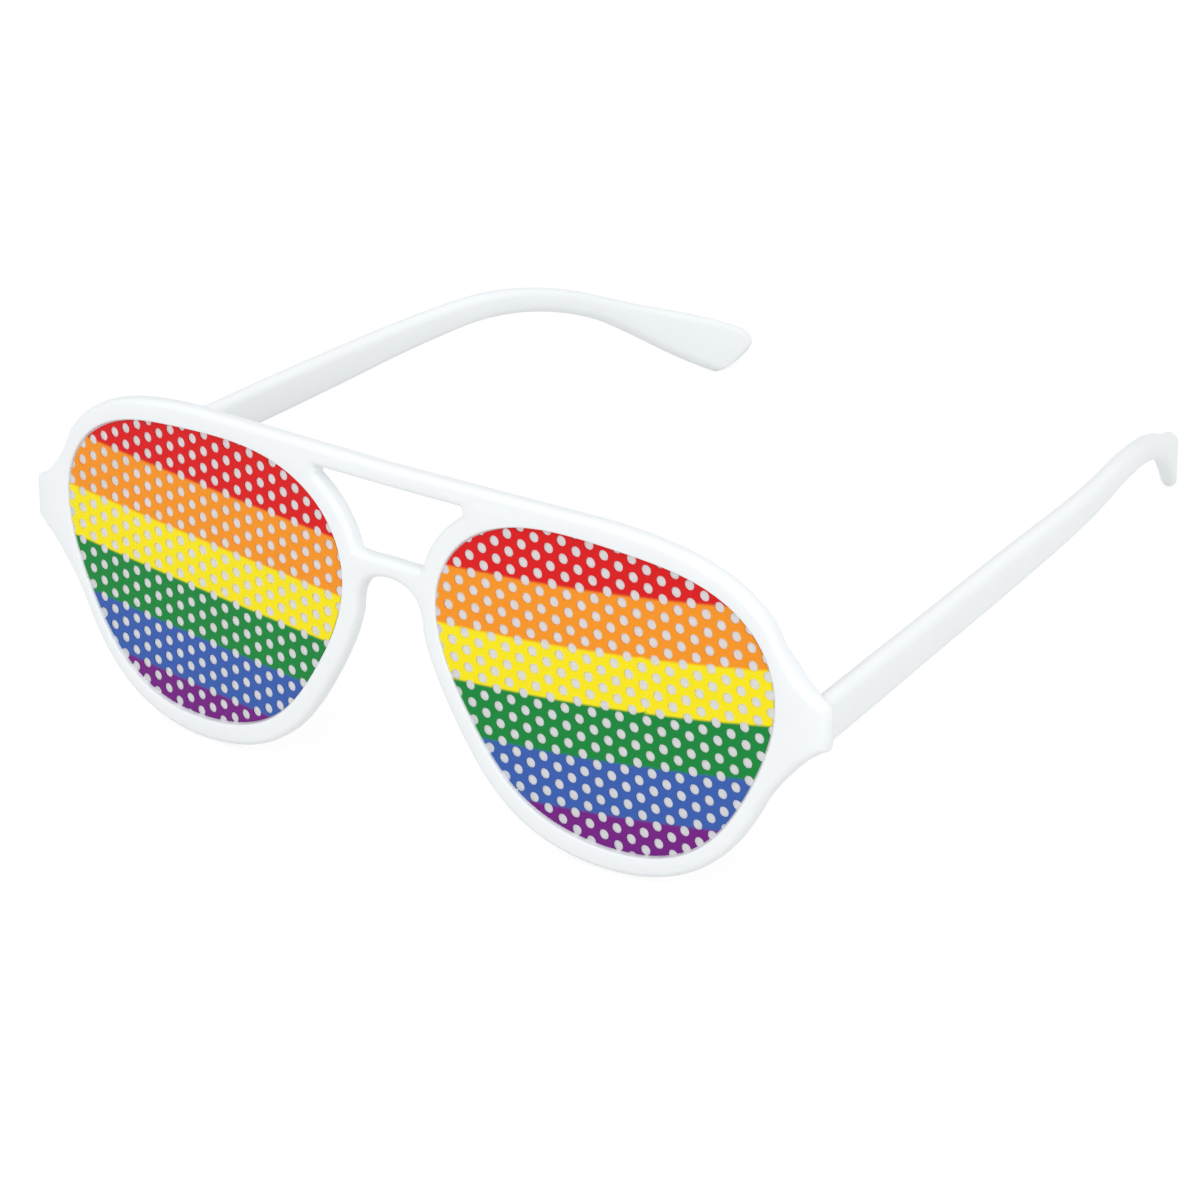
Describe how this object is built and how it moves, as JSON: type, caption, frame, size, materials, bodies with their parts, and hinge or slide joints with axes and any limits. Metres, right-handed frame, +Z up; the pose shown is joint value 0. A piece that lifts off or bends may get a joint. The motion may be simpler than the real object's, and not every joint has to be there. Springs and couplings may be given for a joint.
{
  "type": "pinhole glasses",
  "caption": "Aviator glasses with clear lenses under perforated films printed in rainbow stripes, a bar over the nose arch, and two folding temples on screw hinges.",
  "frame": {"origin": "on the surface the glasses stand on, under the middle of their bounding box, on the plane of symmetry", "axes": "+X from the wearer's right-hand lens to the left-hand lens as seen from the front's face, left to right for a viewer at -Y; the front faces -Y, the temples run to +Y, +Z is up"},
  "size_m": [0.145, 0.1497, 0.0531],
  "materials": {
    "frame_plastic": "smooth moulded white",
    "temple_plastic": "smooth moulded white",
    "lens_clear": "polished clear acrylic",
    "film_print": "vinyl film printed in six plain stripes",
    "leaf_steel": "nickel-plated",
    "screw_steel": "turned"
  },
  "bodies": {
    "front": {"frame_front": "frame_plastic", "lens_right": "lens_clear", "lens_left": "lens_clear", "film_right": "film_print", "film_left": "film_print", "front_leaf_right": "leaf_steel", "front_leaf_left": "leaf_steel", "hinge_screw_right": "screw_steel", "hinge_screw_left": "screw_steel"},
    "temple_r": {"temple_right": "temple_plastic", "temple_leaf_right": "leaf_steel"},
    "temple_l": {"temple_left": "temple_plastic", "temple_leaf_left": "leaf_steel"}
  },
  "joints": [
    {"name": "fold_right", "type": "hinge", "parent": "front", "child": "temple_r", "pos_m": [0.0669, -0.06418, 0.0293], "axis": [0, 0.1004, 0.9949], "range_deg": [0, 80.5]},
    {"name": "fold_left", "type": "hinge", "parent": "front", "child": "temple_l", "pos_m": [-0.0669, -0.06418, 0.0293], "axis": [0, -0.1004, -0.9949], "range_deg": [0, 54]}
  ]
}
